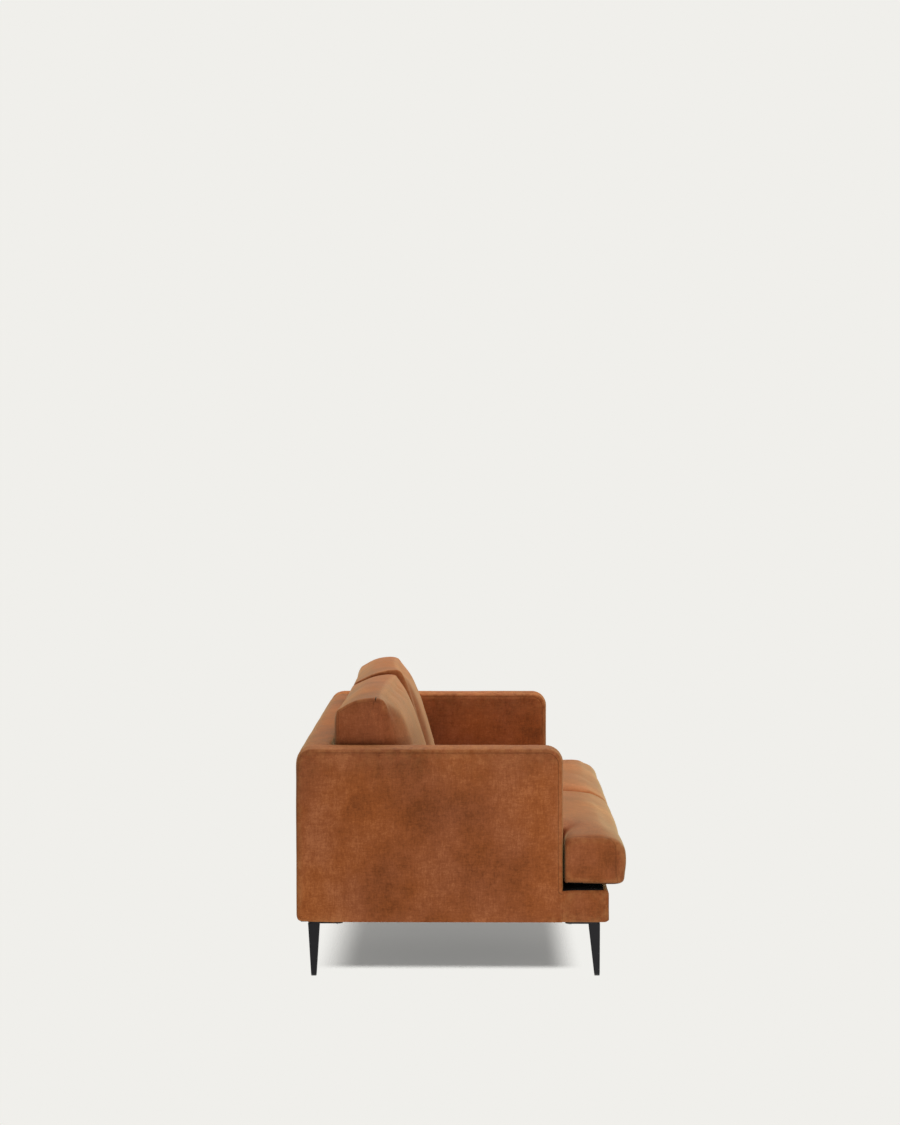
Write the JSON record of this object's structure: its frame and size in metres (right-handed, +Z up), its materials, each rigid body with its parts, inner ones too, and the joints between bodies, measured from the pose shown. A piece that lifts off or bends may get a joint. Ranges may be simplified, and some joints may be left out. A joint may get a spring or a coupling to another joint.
{
  "type": "sofa",
  "caption": "Upholstered sofa with slim square arms, loose seat cushions that wrap the arm fronts, wedge back cushions and slim tapered black legs.",
  "frame": {"origin": "on the floor under the middle of the sofa", "axes": "+Z up, the front faces -Y, +X along the length to the right as seen from the front"},
  "size_m": [1.83, 0.95, 0.8061],
  "materials": {
    "upholstery": "mottled tan nubuck look, matt",
    "foam": "cut foam and fibre filling",
    "timber": "sawn pine",
    "fibreboard": "smooth fibreboard",
    "webbing": "woven elastic",
    "lining": "spun black cloth",
    "leg_metal": "satin black",
    "glide": "moulded",
    "fastener": "zinc plated"
  },
  "bodies": {
    "frame": {"back_board": "fibreboard", "back_bottom_rail": "timber", "back_centre_post": "timber", "back_cover": "upholstery", "back_foam": "foam", "back_top_rail": "timber", "back_webbing": "webbing", "dust_cover": "lining", "frame_bolts": "fastener", "front_box_cover": "upholstery", "front_box_foam": "foam", "left_arm_back_post": "timber", "left_arm_bottom_rail": "timber", "left_arm_cover": "upholstery", "left_arm_foam": "foam", "left_arm_front_post": "timber", "left_arm_inner_board": "fibreboard", "left_arm_outer_board": "fibreboard", "left_arm_top_rail": "timber", "left_back_end_post": "timber", "left_back_leg": "leg_metal", "left_front_leg": "leg_metal", "left_front_leg_block": "timber", "left_seat_side_rail": "timber", "leg_glides": "glide", "leg_screws": "fastener", "right_arm_back_post": "timber", "right_arm_bottom_rail": "timber", "right_arm_cover": "upholstery", "right_arm_foam": "foam", "right_arm_front_post": "timber", "right_arm_inner_board": "fibreboard", "right_arm_outer_board": "fibreboard", "right_arm_top_rail": "timber", "right_back_end_post": "timber", "right_back_leg": "leg_metal", "right_front_leg": "leg_metal", "right_front_leg_block": "timber", "right_seat_side_rail": "timber", "seat_back_rail": "timber", "seat_centre_rail": "timber", "seat_deck": "foam", "seat_front_rail": "timber", "seat_webbing": "webbing"},
    "left_seat_cushion": {"left_seat_cushion": "upholstery"},
    "left_back_cushion": {"left_back_cushion_cover": "upholstery", "left_back_cushion_filling": "foam"},
    "right_seat_cushion": {"right_seat_cushion": "upholstery"},
    "right_back_cushion": {"right_back_cushion_cover": "upholstery", "right_back_cushion_filling": "foam"}
  },
  "joints": [
    {"name": "left_seat_cushion_pull", "type": "slide", "parent": "frame", "child": "left_seat_cushion", "axis": [0, -1, 0], "range_m": [0, 0.36]},
    {"name": "left_back_cushion_lift", "type": "slide", "parent": "frame", "child": "left_back_cushion", "axis": [0, 0, 1], "range_m": [0, 0.4]},
    {"name": "right_seat_cushion_pull", "type": "slide", "parent": "frame", "child": "right_seat_cushion", "axis": [0, -1, 0], "range_m": [0, 0.36]},
    {"name": "right_back_cushion_lift", "type": "slide", "parent": "frame", "child": "right_back_cushion", "axis": [0, 0, 1], "range_m": [0, 0.4]}
  ]
}
